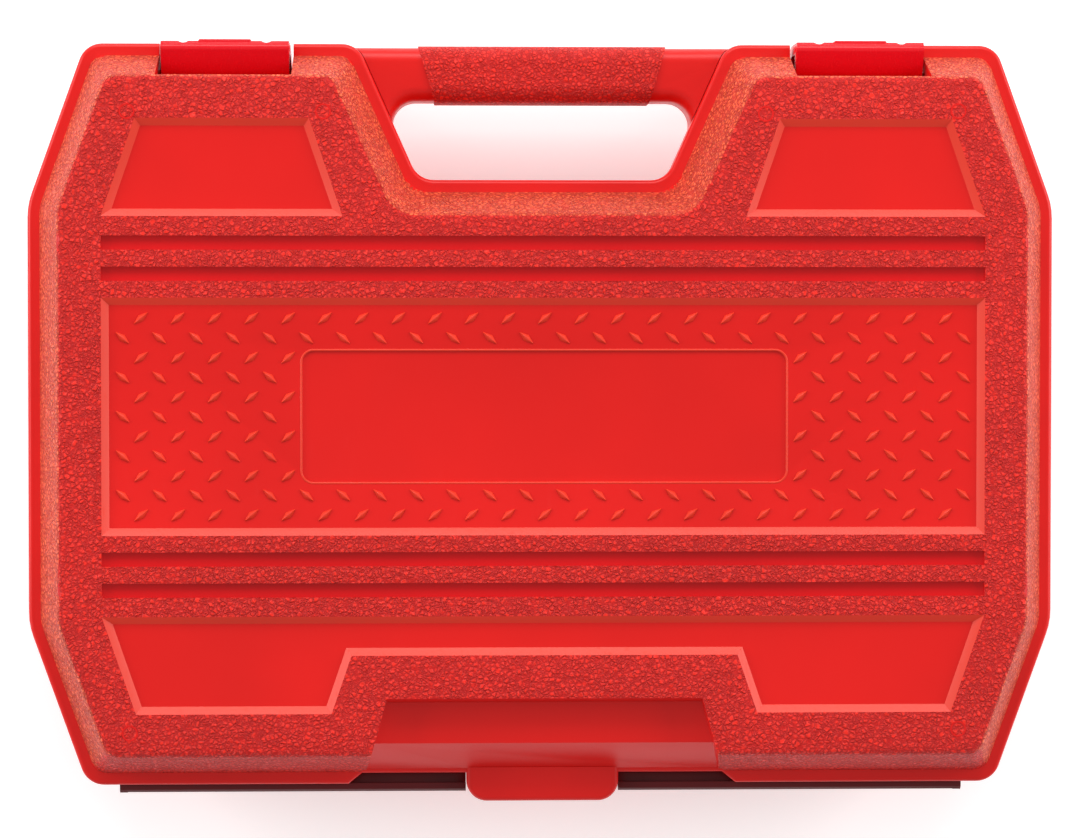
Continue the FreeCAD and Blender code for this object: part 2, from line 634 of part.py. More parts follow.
SMALL, MEDIUM, LARGE = 38.0, 40.0, 42.0
CENTRE_ROW, FRONT_ROW, WING_ROW = -12.0, -47.5, -84.0
GAP = 4.6


def socket_row(entries, y, start=None):
    """Sockets side by side, evenly spaced about the middle."""
    width = sum(max(outside, drive) for _, outside, drive, _ in entries) + GAP * (len(entries) - 1)
    x = -width / 2.0 if start is None else start
    for across_flats, outside, drive, height in entries:
        widest = max(outside, drive)
        socket(across_flats, outside, drive, height, x + widest / 2.0, y)
        x += widest + GAP


# each entry: size across flats, outside of the nose, outside of the drive end, height
socket_row([(32, 42.0, 30.0, LARGE), (30, 40.0, 30.0, LARGE), (27, 36.0, 28.0, LARGE),
            (24, 32.0, 26.0, MEDIUM), (22, 30.0, 24.0, MEDIUM), (21, 28.5, 24.0, MEDIUM),
            (20, 27.5, 24.0, MEDIUM)], CENTRE_ROW)
socket_row([(19, 26.0, 24.0, SMALL), (18, 25.0, 24.0, SMALL), (17, 24.0, 24.0, SMALL),
            (16, 23.0, 23.0, SMALL), (15, 22.0, 22.0, SMALL)], FRONT_ROW, start=-122.0)
socket_row([(14, 21.0, 22.0, SMALL), (13, 20.0, 22.0, SMALL), (12, 18.5, 22.0, SMALL)], FRONT_ROW,
           start=38.0)
socket_row([(11, 17.0, 22.0, SMALL), (10, 16.0, 22.0, SMALL)], WING_ROW, start=-130.0)
socket_row([(9, 14.5, 22.0, SMALL), (8, 13.0, 22.0, SMALL)], WING_ROW, start=82.0)


def plug_socket(across_flats, outside, length, x, y):
    """A long spark plug socket lying along X, with a rubber insert that grips the plug."""
    name = "spark_plug_socket_%d" % across_flats
    radius = outside / 2.0
    blank = cylinder(name + "_blank", radius, length, x, y, S.tool_axis, along="X")
    blank = fillet(name + "_rounded", blank, [(0.8, lambda e: len(e.Vertexes) == 1)])
    hexagon = prism(name + "_hexagon", 6, across_flats + 0.15, 25, size(x) + length - 24, y, S.tool_axis,
                    along="X")
    bore = cylinder(name + "_bore", across_flats * 0.5, length - 35.0, size(x) + 15, y, S.tool_axis,
                    along="X")
    drive = drive_hole(name + "_square", x, y, S.tool_axis, 16, along="X")
    node(cut(name + "_body", blank, [hexagon, bore, drive]), name)
    insert = cylinder(name + "_insert", across_flats * 0.5 - 0.05, 14, size(x) + length - 40, y, S.tool_axis,
                      along="X")
    opening = cylinder(name + "_insert_hole", across_flats * 0.5 - 3.2, 16, size(x) + length - 41, y,
                       S.tool_axis, along="X")
    node(cut(name + "_insert_body", insert, [opening]), "plug_insert_%d" % across_flats)
    long_pocket(name, size(x) - 0.6, size(x) + length + 0.6, y, radius + 0.5, S.tool_axis - radius - 0.1)


BAR_ROW, SHORT_ROW, RATCHET_ROW = 54.0, 25.5, 85.0
plug_socket(21, 27.5, 70.0, 4.0, SHORT_ROW)
plug_socket(16, 22.0, 65.0, 82.0, SHORT_ROW)


# ---------------------------------------------------------------- extension bars

BALL_RADIUS = 2.4
BALL_SHOWS = 0.8
bar_balls = []


def extension_bar(name, length, x, y):
    """A bar with a drive square at its -X end and a square hole at its +X end."""
    start = size(x)
    square_half = S.square * 0.5
    male = box(name + "_square", start, start + 17, size(y) - square_half, size(y) + square_half,
               S.tool_axis - square_half, S.tool_axis + square_half)
    male = fillet(name + "_square_rounded", male, [(1.1, lambda e: abs(middle(e).x - start.value) > 1)])
    collar = cylinder(name + "_collar", 9.2, 5, start + 15.5, y, S.tool_axis, along="X")
    shaft = cylinder(name + "_shaft", 6.6, size(length) - 50, start + 18, y, S.tool_axis, along="X")
    taper = cone(name + "_taper", 6.6, 11.6, 6, start + length - 33, y, S.tool_axis, along="X")
    head = cylinder(name + "_head", 11.6, 27, start + length - 27, y, S.tool_axis, along="X")
    blank = fuse(name + "_blank", [male, collar, shaft, taper, head])
    hole = drive_hole(name + "_hole", start + length - 17, y, S.tool_axis, 18, along="X")
    seat = ball(name + "_seat", BALL_RADIUS + 0.05, start + 8, size(y),
                S.tool_axis + square_half + BALL_SHOWS - BALL_RADIUS)
    node(cut(name + "_body", blank, [hole, seat]), name)
    bar_balls.append(ball(name + "_ball", BALL_RADIUS, start + 8, size(y),
                          S.tool_axis + square_half + BALL_SHOWS - BALL_RADIUS))
    long_pocket(name + "_thin", start - 0.8, start + length - 26, y, 9.8, S.tool_axis - 9.3)
    long_pocket(name + "_thick", start + length - 34, start + length + 0.8, y, 12.2, S.tool_axis - 11.7)


extension_bar("extension_bar_long", 250.0, -128.0, BAR_ROW)
extension_bar("extension_bar_short", 125.0, -134.0, SHORT_ROW)
ball_pair = doc.addObject("Part::Compound", "extension_ball_pair")
ball_pair.Links = bar_balls
node(ball_pair, "extension_balls")


# ---------------------------------------------------------------- ratchet

HEAD_X, HEAD_Y = -116.0, RATCHET_ROW
HEAD_BOTTOM, HEAD_TOP = 24.0, 45.0
HEAD_RADIUS = 18.0
SHANK_AXIS = 34.5
PLATE_TOP = HEAD_BOTTOM + 2.2
GEAR_BOTTOM, GEAR_TOP = PLATE_TOP + 0.3, 38.0
CAVITY_TOP = 41.5
TIP_RADIUS, ROOT_RADIUS, TEETH = 11.6, 10.6, 36
LEVER_X = HEAD_X + 15.0
BUTTON_RADIUS = 4.8
HANDLE_END = HEAD_X + 236.0


def ratchet():
    head = cylinder("head_barrel", HEAD_RADIUS, HEAD_TOP - HEAD_BOTTOM, HEAD_X, HEAD_Y, HEAD_BOTTOM)
    head = fillet("head_rounded", head, [(1.6, level_at(HEAD_TOP)), (1.0, level_at(HEAD_BOTTOM))])
    neck = doc.addObject("Part::Extrusion", "head_neck")
    neck.Base = polygon("neck_plan", [
        (HEAD_X, HEAD_Y - 15.5), (HEAD_X + 10.0, HEAD_Y - 14.6), (HEAD_X + 44.0, HEAD_Y - 6.5),
        (HEAD_X + 44.0, HEAD_Y + 6.5), (HEAD_X + 10.0, HEAD_Y + 14.6), (HEAD_X, HEAD_Y + 15.5)])
    neck.DirMode = "Custom"
    neck.Dir = FreeCAD.Vector(0, 0, 1)
    neck.Solid = True
    bind(neck, "LengthFwd", HEAD_TOP - HEAD_BOTTOM - 2.0)
    place(neck, z=HEAD_BOTTOM + 1.0)
    neck = fillet("neck_rounded", neck, [
        (3.0, lambda e: middle(e).x > HEAD_X + 12 and middle(e).x < HEAD_X + 43.9
         and not upright(e))])
    shank = cylinder("shank_bar", 7.0, 78, HEAD_X + 38, HEAD_Y, SHANK_AXIS, along="X")
    tang = cylinder("shank_tang", 4.6, 112, HEAD_X + 115, HEAD_Y, SHANK_AXIS, along="X")
    blank = fuse("ratchet_blank", [head, neck, shank, tang])
    cavity = cylinder("gear_cavity", 13.0, CAVITY_TOP - HEAD_BOTTOM + 1, HEAD_X, HEAD_Y, HEAD_BOTTOM - 1)
    plate_seat = cylinder("plate_seat", 16.6, PLATE_TOP - HEAD_BOTTOM + 1, HEAD_X, HEAD_Y, HEAD_BOTTOM - 1)
    button_hole = cylinder("button_hole", BUTTON_RADIUS + 0.08, 10, HEAD_X, HEAD_Y, CAVITY_TOP - 1)
    pawl_pocket = box("pawl_pocket", HEAD_X + 10, HEAD_X + 20.4, HEAD_Y - 5.3, HEAD_Y + 5.3,
                      GEAR_BOTTOM, GEAR_TOP - 0.3)
    lever_hole = cylinder("lever_hole", 2.3, 10, LEVER_X, HEAD_Y, GEAR_TOP - 0.5)
    threads = [cylinder("thread_%d" % number, 1.25, 6, HEAD_X, HEAD_Y + offset_y, PLATE_TOP - 0.5)
               for number, offset_y in enumerate((-14.8, 14.8), 1)]
    node(cut("ratchet_blank_cut", blank,
             [cavity, plate_seat, button_hole, pawl_pocket, lever_hole] + threads), "ratchet_body")

    grip_start = HEAD_X + 117
    profile = [(0, 8.2), (9, 12.4), (40, 11.2), (78, 12.8), (108, 12.2), (HANDLE_END - grip_start, 8.0)]
    wires = []
    for number, (distance, radius) in enumerate(profile):
        ring = doc.addObject("Part::Ellipse", "grip_ring_%d" % number)
        bind(ring, "MajorRadius", radius * 1.12)
        bind(ring, "MinorRadius", radius * 0.9)
        ring.Placement.Rotation = FreeCAD.Rotation(FreeCAD.Vector(0, 1, 0), FreeCAD.Vector(0, 0, 1),
                                                   FreeCAD.Vector(1, 0, 0), "ZXY")
        place(ring, grip_start + distance, HEAD_Y, SHANK_AXIS)
        wires.append(ring)
    grip_body = doc.addObject("Part::Loft", "grip_loft")
    grip_body.Sections = wires
    grip_body.Solid = True
    tang_hole = cylinder("tang_hole", 4.6, 112, HEAD_X + 115, HEAD_Y, SHANK_AXIS, along="X")
    node(cut("ratchet_grip_body", grip_body, [tang_hole]), "ratchet_grip")

    plate = cylinder("plate_disc", 16.5, PLATE_TOP - HEAD_BOTTOM, HEAD_X, HEAD_Y, HEAD_BOTTOM)
    plate_cuts = [cylinder("plate_bore", 9.36, 6, HEAD_X, HEAD_Y, HEAD_BOTTOM - 1)]
    screws = []
    for number, offset_y in enumerate((-14.8, 14.8), 1):
        plate_cuts.append(cylinder("plate_screw_hole_%d" % number, 1.25, 6, HEAD_X, HEAD_Y + offset_y,
                                   HEAD_BOTTOM - 1))
        screw = cylinder("screw_%d" % number, 1.25, 7.0, HEAD_X, HEAD_Y + offset_y, HEAD_BOTTOM)
        slot = box("screw_slot_%d" % number, HEAD_X - 2, HEAD_X + 2, HEAD_Y + offset_y - 0.25,
                   HEAD_Y + offset_y + 0.25, HEAD_BOTTOM - 1, HEAD_BOTTOM + 0.7)
        screws.append(cut("screw_body_%d" % number, screw, [slot]))
    node(cut("head_cover_plate_body", plate, plate_cuts), "head_cover_plate")
    screw_pair = doc.addObject("Part::Compound", "cover_screw_pair")
    screw_pair.Links = screws
    node(screw_pair, "cover_screws")


def drive():
    """The toothed gear, its journal and the square that carries the sockets."""
    points = []
    for tooth in range(TEETH):
        for share, radius in ((0.0, ROOT_RADIUS), (0.5, TIP_RADIUS)):
            angle = 2 * math.pi * (tooth + share) / TEETH
            points.append((HEAD_X + radius * math.cos(angle), HEAD_Y + radius * math.sin(angle)))
    wire = Part.makePolygon([FreeCAD.Vector(x, y, GEAR_BOTTOM) for x, y in points + points[:1]])
    wheel = doc.addObject("Part::Feature", "gear_wheel")
    wheel.Shape = Part.Face(wire).extrude(FreeCAD.Vector(0, 0, GEAR_TOP - GEAR_BOTTOM))
    journal = cylinder("gear_journal", 9.3, 6, HEAD_X, HEAD_Y, HEAD_BOTTOM - 2.5)
    half = S.square.value * 0.5
    tang_bottom = HEAD_BOTTOM - 16.0
    tang = box("drive_tang", HEAD_X - half, HEAD_X + half, HEAD_Y - half, HEAD_Y + half, tang_bottom,
               HEAD_BOTTOM - 1)
    tang = fillet("drive_tang_rounded", tang, [(1.1, lambda e: middle(e).z < HEAD_BOTTOM - 1.5)])
    blank = fuse("drive_blank", [wheel, journal, tang])
    ball_z = tang_bottom + 7.5
    ball_y = HEAD_Y - half - BALL_SHOWS + BALL_RADIUS
    rod_hole = cylinder("rod_hole", 1.5, GEAR_TOP - ball_z + 2, HEAD_X, HEAD_Y, ball_z - 1)
    seat = ball("drive_ball_seat", BALL_RADIUS + 0.05, HEAD_X, ball_y, ball_z)
    spring_seat = cylinder("spring_seat", 3.6, 5, HEAD_X, HEAD_Y, GEAR_TOP - 2)
    node(cut("drive_gear_body", blank, [rod_hole, seat, spring_seat]), "drive_gear")
    node(ball("drive_ball_body", BALL_RADIUS, HEAD_X, ball_y, ball_z), "drive_ball")

    cap = cylinder("button_cap", BUTTON_RADIUS, 7.0, HEAD_X, HEAD_Y, HEAD_TOP - 3.6)
    cap = fillet("button_cap_rounded", cap, [(1.2, level_at(HEAD_TOP + 3.4))])
    rod = cylinder("button_rod", 1.42, HEAD_TOP - 3 - ball_z - 3.6, HEAD_X, HEAD_Y, ball_z + 3.6)
    node(fuse("release_button_body", [cap, rod]), "release_button")
    coil = cylinder("coil_outer", 3.3, HEAD_TOP - 3.6 - GEAR_TOP + 2, HEAD_X, HEAD_Y, GEAR_TOP - 2)
    inside = cylinder("coil_inner", 2.1, 20, HEAD_X, HEAD_Y, GEAR_TOP - 4)
    node(cut("button_spring_body", coil, [inside]), "button_spring")


def selector():
    """The pawl, its spring and the lever that turns it over."""
    pawl = box("pawl_block", HEAD_X + 12.1, HEAD_X + 16.6, HEAD_Y - 4.6, HEAD_Y + 4.6,
               GEAR_BOTTOM + 0.2, GEAR_TOP - 1.6)
    pawl = fillet("pawl_rounded", pawl, [(0.8, upright)])
    node(pawl, "pawl")
    spring = cylinder("pawl_spring_outer", 1.7, 3.6, HEAD_X + 16.7, HEAD_Y, 32.0, along="X")
    inside = cylinder("pawl_spring_inner", 1.0, 6, HEAD_X + 16, HEAD_Y, 32.0, along="X")
    node(cut("pawl_spring_body", spring, [inside]), "pawl_spring")

    boss = cylinder("lever_boss", 5.2, 2.6, LEVER_X, HEAD_Y, HEAD_TOP + 0.2)
    stem = cylinder("lever_stem", 2.22, HEAD_TOP - GEAR_TOP + 0.9, LEVER_X, HEAD_Y, GEAR_TOP - 0.2)
    arm = box("lever_arm", 0, 14.0, -3.2, 3.2, HEAD_TOP + 0.2, HEAD_TOP + 2.8)
    arm = fillet("lever_arm_rounded", arm, [(3.0, lambda e: upright(e) and middle(e).x > 10)])
    place(arm, LEVER_X, HEAD_Y)
    arm.Placement.Rotation = FreeCAD.Rotation(30, 0, 0)
    thumb = box("lever_thumb", 9.0, 11.6, -3.2, 3.2, HEAD_TOP + 2.6, HEAD_TOP + 5.4)
    thumb = fillet("lever_thumb_rounded", thumb, [(1.0, lambda e: middle(e).z > HEAD_TOP + 5)])
    place(thumb, LEVER_X, HEAD_Y)
    thumb.Placement.Rotation = FreeCAD.Rotation(30, 0, 0)
    node(fuse("selector_lever_body", [boss, stem, arm, thumb]), "selector_lever")


ratchet()
drive()
selector()
round_pocket("ratchet_head", HEAD_RADIUS + 0.8, HEAD_X, HEAD_Y, HEAD_BOTTOM - 0.2)
round_pocket("ratchet_tang", 10.4, HEAD_X, HEAD_Y, S.pocket_floor + 1)
long_pocket("ratchet_neck", HEAD_X, HEAD_X + 46, HEAD_Y, 16.4, HEAD_BOTTOM + 0.7)
long_pocket("ratchet_grip", HEAD_X + 114, HANDLE_END + 1, HEAD_Y, 16.2, SHANK_AXIS - 12.6)

# finger hollows, across the long tools and between the sockets
for name, x0, x1, y0, y1 in (("bars", -30.0, -4.0, 40.0, 68.0), ("ratchet", -40.0, -10.0, 72.0, 98.0)):
    floor = size(15.0)
    pockets.append(box("finger_%s" % name, x0, x1, y0, y1, floor, PARTING))
    cups.append(box("finger_%s_cup" % name, x0 - S.cup_wall.value, x1 + S.cup_wall.value,
                    y0 - S.cup_wall.value, y1 + S.cup_wall.value, floor - S.cup_wall,
                    S.tray_level - 0.5))

tray_blocks = notch_blocks("tray_notch", S.notch_half_width + 3.5, S.notch_floor - S.notch_wall, 0, PARTING)
tray_holes = fuse("tray_holes", pockets)
node(cut("tray_body", fuse("tray_blank", [tray_floor] + cups), [tray_holes] + tray_blocks), "base_tray")
node(cut("tray_rim_body", fuse("tray_rim_blank", [tray_flange, tray_wall]),
         [tray_inner, tray_holes] + tray_blocks), "tray_rim")

liner_flange, liner_outer, liner_inner = pan(
    "liner", S.liner_depth - 0.25, PARTING + 0.25, PARTING + 0.25, PARTING + 0.25 - S.pan_skin)
ribs = [box("liner_rib_%d" % number, x - 2.0, x + 2.0, -58.0, 98.0,
            PARTING + S.liner_depth - S.pan_skin - 1.5, PARTING + S.liner_depth - 1)
        for number, x in enumerate((-110.0, -55.0, 0.0, 55.0, 110.0), 1)]
liner_blocks = notch_blocks("liner_notch", S.notch_half_width + 3.5, S.notch_floor - S.notch_wall,
                            PARTING - 1, PARTING + S.lid_height)
liner_hollow = cut("liner_hollow", liner_inner, ribs)
node(cut("liner_body", fuse("liner_blank", [liner_flange, liner_outer]), [liner_hollow] + liner_blocks),
     "lid_liner")


# ---------------------------------------------------------------- check and write

doc.recompute()
for obj in doc.Objects:
    if "Invalid" in obj.State or "Error" in obj.State:
        raise RuntimeError("%s did not rebuild" % obj.Name)
for obj in NODES:
    if obj.Shape.isNull() or not obj.Shape.isValid() or not obj.Shape.Solids:
        raise RuntimeError("%s is not a valid solid" % obj.Label)

os.makedirs("parts", exist_ok=True)
for obj in NODES:
    obj.Shape.exportStep(os.path.join("parts", obj.Label + ".step"))
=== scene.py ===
import json
import math

import bpy
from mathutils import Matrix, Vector


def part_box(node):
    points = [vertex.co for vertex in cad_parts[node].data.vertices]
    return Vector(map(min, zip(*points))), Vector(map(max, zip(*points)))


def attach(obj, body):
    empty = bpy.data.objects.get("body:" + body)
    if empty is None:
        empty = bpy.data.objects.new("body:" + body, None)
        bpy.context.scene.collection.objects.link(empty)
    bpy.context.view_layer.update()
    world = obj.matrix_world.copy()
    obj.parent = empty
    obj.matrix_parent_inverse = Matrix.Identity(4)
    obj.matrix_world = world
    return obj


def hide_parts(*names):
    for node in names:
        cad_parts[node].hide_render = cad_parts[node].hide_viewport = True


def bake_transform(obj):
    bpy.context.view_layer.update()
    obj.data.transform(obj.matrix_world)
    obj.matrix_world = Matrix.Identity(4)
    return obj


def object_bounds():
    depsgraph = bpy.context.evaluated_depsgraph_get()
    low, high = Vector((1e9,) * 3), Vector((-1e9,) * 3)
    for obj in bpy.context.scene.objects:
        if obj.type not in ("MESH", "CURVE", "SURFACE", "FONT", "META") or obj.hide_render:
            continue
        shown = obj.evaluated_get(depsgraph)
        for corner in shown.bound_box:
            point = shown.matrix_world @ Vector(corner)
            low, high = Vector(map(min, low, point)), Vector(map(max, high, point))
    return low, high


# Looks of a closed red blow-moulded tool case with a half-inch drive socket set in it.
# The case lies on its base. Its handle and latches are at -Y, its hinge at +Y.

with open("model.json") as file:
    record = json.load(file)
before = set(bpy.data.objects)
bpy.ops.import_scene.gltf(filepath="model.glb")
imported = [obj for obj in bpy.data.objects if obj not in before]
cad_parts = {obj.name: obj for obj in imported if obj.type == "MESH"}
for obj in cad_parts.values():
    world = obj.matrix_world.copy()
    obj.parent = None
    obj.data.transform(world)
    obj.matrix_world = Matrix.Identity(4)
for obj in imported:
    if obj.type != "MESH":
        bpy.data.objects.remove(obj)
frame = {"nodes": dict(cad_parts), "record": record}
bpy.ops.object.select_all(action="DESELECT")
cad_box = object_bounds()
scene = bpy.context.scene

MM = 0.001
LID_LOW, LID_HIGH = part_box("lid_shell")
BASE_LOW, BASE_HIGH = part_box("base_shell")
FACE_Z = LID_HIGH.z
PARTING_Z = BASE_HIGH.z
MIDDLE_Y = 0.5 * (BASE_LOW.y + BASE_HIGH.y)
FLANGE_TOP_Z = PARTING_Z + 5.4 * MM

# sunk panels of the lid's face: half sizes and depths, measured from the rim's middle
PANEL_HALF_WIDTH = 144.0 * MM
CENTRE_HALF_DEPTH = 38.7 * MM
TRAPEZOID_NEAR, TRAPEZOID_FAR = 65.1 * MM, 96.9 * MM
TRAPEZOID_SIDE = 133.0 * MM
TRAPEZOID_INNER_NEAR, TRAPEZOID_INNER_FAR = 65.7 * MM, 76.6 * MM
BAR_HALF_WIDTH, BAR_FOOT, BAR_EDGE = 63.0 * MM, 69.5 * MM, 77.9 * MM
GROOVES = (46.4 * MM, 56.5 * MM)
GROOVE_HALF_WIDTH, GROOVE_SHADE_REACH = 2.3 * MM, 2.4 * MM
PANEL_DEPTH = 2.0 * MM
LABEL_HALF_WIDTH = 79.3 * MM

# where the hide grain stops: at the recess by the hinge, at the latch notches and below the face
RECESS_EDGE, RECESS_HALF_WIDTH, RECESS_FLARE = 91.9 * MM, 52.0 * MM, 0.274
NOTCH_INNER, NOTCH_OUTER, NOTCH_EDGE = 82.0 * MM, 126.8 * MM, -110.9 * MM
FACE_PLAY = 0.12 * MM
SUNK_LEAST, SUNK_MOST = 1.5 * MM, 3.2 * MM


# ---------------------------------------------------------------- working with pieces

def make_active(piece):
    bpy.ops.object.select_all(action="DESELECT")
    piece.select_set(True)
    bpy.context.view_layer.objects.active = piece


def into_edit(piece):
    """Opens a piece for editing with nothing selected."""
    make_active(piece)
    bpy.ops.object.mode_set(mode="EDIT")
    bpy.ops.mesh.select_mode(type="FACE")
    bpy.ops.mesh.select_all(action="DESELECT")
    bpy.ops.object.mode_set(mode="OBJECT")


def select_faces(piece, test):
    """Selects the faces whose middle and normal pass the test, and goes on in edit mode."""
    for face in piece.data.polygons:
        face.select = test(face.center, face.normal)
    bpy.ops.object.mode_set(mode="EDIT")


def out_of_edit():
    bpy.ops.object.mode_set(mode="OBJECT")


def apply_modifier(piece, kind, **settings):
    make_active(piece)
    modifier = piece.modifiers.new(kind.lower(), kind)
    for name, value in settings.items():
        setattr(modifier, name, value)
    bpy.ops.object.modifier_apply(modifier=modifier.name)


def settle(piece):
    """Puts a finished piece's place and turn into its mesh."""
    make_active(piece)
    bpy.ops.object.transform_apply(location=True, rotation=True, scale=True)


def smooth(piece, degrees=32):
    make_active(piece)
    bpy.ops.object.shade_smooth_by_angle(angle=math.radians(degrees))


def copy_of(node, name, flat_angle=0.4):
    """A clean copy of a CAD node's mesh, with its flat faces whole again."""
    piece = bpy.data.objects.new(name, frame["nodes"][node].data.copy())
    scene.collection.objects.link(piece)
    make_active(piece)
    bpy.ops.object.mode_set(mode="EDIT")
    bpy.ops.mesh.select_all(action="SELECT")
    bpy.ops.mesh.remove_doubles(threshold=0.02 * MM)
    bpy.ops.mesh.dissolve_limited(angle_limit=math.radians(flat_angle))
    out_of_edit()
    return piece


def soften(piece, width, segments=3, degrees=25):
    """Rounds the piece's sharp edges, as a mould does."""
    apply_modifier(piece, "BEVEL", width=width, segments=segments, limit_method="ANGLE",
                   angle_limit=math.radians(degrees), use_clamp_overlap=True, harden_normals=False,
                   miter_outer="MITER_SHARP")


def paint(piece, *materials):
    piece.data.materials.clear()
    for material in materials:
        piece.data.materials.append(material)


def finish_piece(piece, node, body):
    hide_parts(node)
    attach(piece, body)


# ---------------------------------------------------------------- shader groups

def new_group(name, inputs, outputs):
    group = bpy.data.node_groups.new(name, "ShaderNodeTree")
    for label, kind, value in inputs:
        socket = group.interface.new_socket(label, in_out="INPUT", socket_type=kind)
        if value is not None:
            socket.default_value = value
    for label, kind in outputs:
        group.interface.new_socket(label, in_out="OUTPUT", socket_type=kind)
    return group


def add(tree, kind, **values):
    """Adds a shader node; a value goes to the socket or the setting of that name."""
    made = tree.nodes.new(kind)
    for name, value in values.items():
        label = name.replace("_", " ")
        if label in made.inputs:
            made.inputs[label].default_value = value
        else:
            setattr(made, name, value)
    return made


def math_node(tree, operation, first, second=None):
    made = tree.nodes.new("ShaderNodeMath")
    made.operation = operation
    for number, value in enumerate((first, second)):
        if isinstance(value, (int, float)):
            made.inputs[number].default_value = value
        elif value is not None:
            tree.links.new(value, made.inputs[number])
    return made.outputs[0]


def map_range(tree, value, low, high, to_low=0.0, to_high=1.0):
    made = add(tree, "ShaderNodeMapRange", clamp=True)
    tree.links.new(value, made.inputs["Value"])
    made.inputs["From Min"].default_value = low
    made.inputs["From Max"].default_value = high
    made.inputs["To Min"].default_value = to_low
    made.inputs["To Max"].default_value = to_high
    return made.outputs["Result"]


def grain_group():
    """The wrinkled hide grain etched into the mould: raised pebbles with creases between them."""
    group = new_group("mould_grain",
                      [("Cells", "NodeSocketFloat", 520.0), ("Wander", "NodeSocketFloat", 0.5)],
                      [("Height", "NodeSocketFloat"), ("Creases", "NodeSocketFloat")])
    ends = group.nodes.new("NodeGroupInput")
    result = group.nodes.new("NodeGroupOutput")
    place = group.nodes.new("ShaderNodeTexCoord")
    stir = add(group, "ShaderNodeTexNoise", Scale=900.0, Detail=2.0, Roughness=0.6)
    group.links.new(place.outputs["Object"], stir.inputs["Vector"])
    shift = group.nodes.new("ShaderNodeVectorMath")
    shift.operation = "SUBTRACT"
    group.links.new(stir.outputs["Color"], shift.inputs[0])
    shift.inputs[1].default_value = (0.5, 0.5, 0.5)
    scaled = group.nodes.new("ShaderNodeVectorMath")
    scaled.operation = "SCALE"
    group.links.new(shift.outputs[0], scaled.inputs[0])
    group.links.new(math_node(group, "MULTIPLY", ends.outputs["Wander"], 0.003), scaled.inputs["Scale"])
    moved = group.nodes.new("ShaderNodeVectorMath")
    moved.operation = "ADD"
    group.links.new(place.outputs["Object"], moved.inputs[0])
    group.links.new(scaled.outputs[0], moved.inputs[1])
    cells = add(group, "ShaderNodeTexVoronoi", feature="DISTANCE_TO_EDGE")
    group.links.new(moved.outputs[0], cells.inputs["Vector"])
    group.links.new(ends.outputs["Cells"], cells.inputs["Scale"])
    pebble = map_range(group, cells.outputs["Distance"], 0.0, 0.32)
    rise = add(group, "ShaderNodeTexNoise", Scale=420.0, Detail=1.0)
    group.links.new(place.outputs["Object"], rise.inputs["Vector"])
    mixed = math_node(group, "MULTIPLY", pebble, map_range(group, rise.outputs[0], 0.3, 0.62, 0.25, 1.0))
    group.links.new(mixed, result.inputs["Height"])
    group.links.new(math_node(group, "SUBTRACT", 1.0, pebble), result.inputs["Creases"])
    return group


def tone_group():
    """Slow drifts of tone and small scuffs, which all moulded plastic has."""
    group = new_group("plastic_tone", [("Base", "NodeSocketColor", None), ("Drift", "NodeSocketFloat", 0.08)],
                      [("Color", "NodeSocketColor"), ("Scuffs", "NodeSocketFloat")])
    ends = group.nodes.new("NodeGroupInput")
    result = group.nodes.new("NodeGroupOutput")
    place = group.nodes.new("ShaderNodeTexCoord")
    drift = add(group, "ShaderNodeTexNoise", Scale=14.0, Detail=3.0)
    group.links.new(place.outputs["Object"], drift.inputs["Vector"])
    amount = math_node(group, "MULTIPLY", map_range(group, drift.outputs[0], 0.3, 0.7, -1.0, 1.0),
                       ends.outputs["Drift"])
    colour = group.nodes.new("ShaderNodeHueSaturation")
    group.links.new(ends.outputs["Base"], colour.inputs["Color"])
    group.links.new(math_node(group, "ADD", amount, 1.0), colour.inputs["Value"])
    group.links.new(colour.outputs["Color"], result.inputs["Color"])
    stretch = group.nodes.new("ShaderNodeMapping")
    stretch.inputs["Scale"].default_value = (1.0, 0.12, 1.0)
    stretch.inputs["Rotation"].default_value = (0.0, 0.0, 0.6)
    group.links.new(place.outputs["Object"], stretch.inputs["Vector"])
    scuff = add(group, "ShaderNodeTexNoise", Scale=900.0, Detail=4.0, Roughness=0.7)
    group.links.new(stretch.outputs["Vector"], scuff.inputs["Vector"])
    group.links.new(map_range(group, scuff.outputs[0], 0.56, 0.74), result.inputs["Scuffs"])
    return group


MOULD_GRAIN = grain_group()
PLASTIC_TONE = tone_group()


def new_material(name):
    material = bpy.data.materials.new(name)
    material.use_nodes = True
    tree = material.node_tree
    return material, tree, tree.nodes["Principled BSDF"]


def use_group(tree, group, **values):
    made = tree.nodes.new("ShaderNodeGroup")
    made.node_tree = group
    for name, value in values.items():
        made.inputs[name].default_value = value
    return made


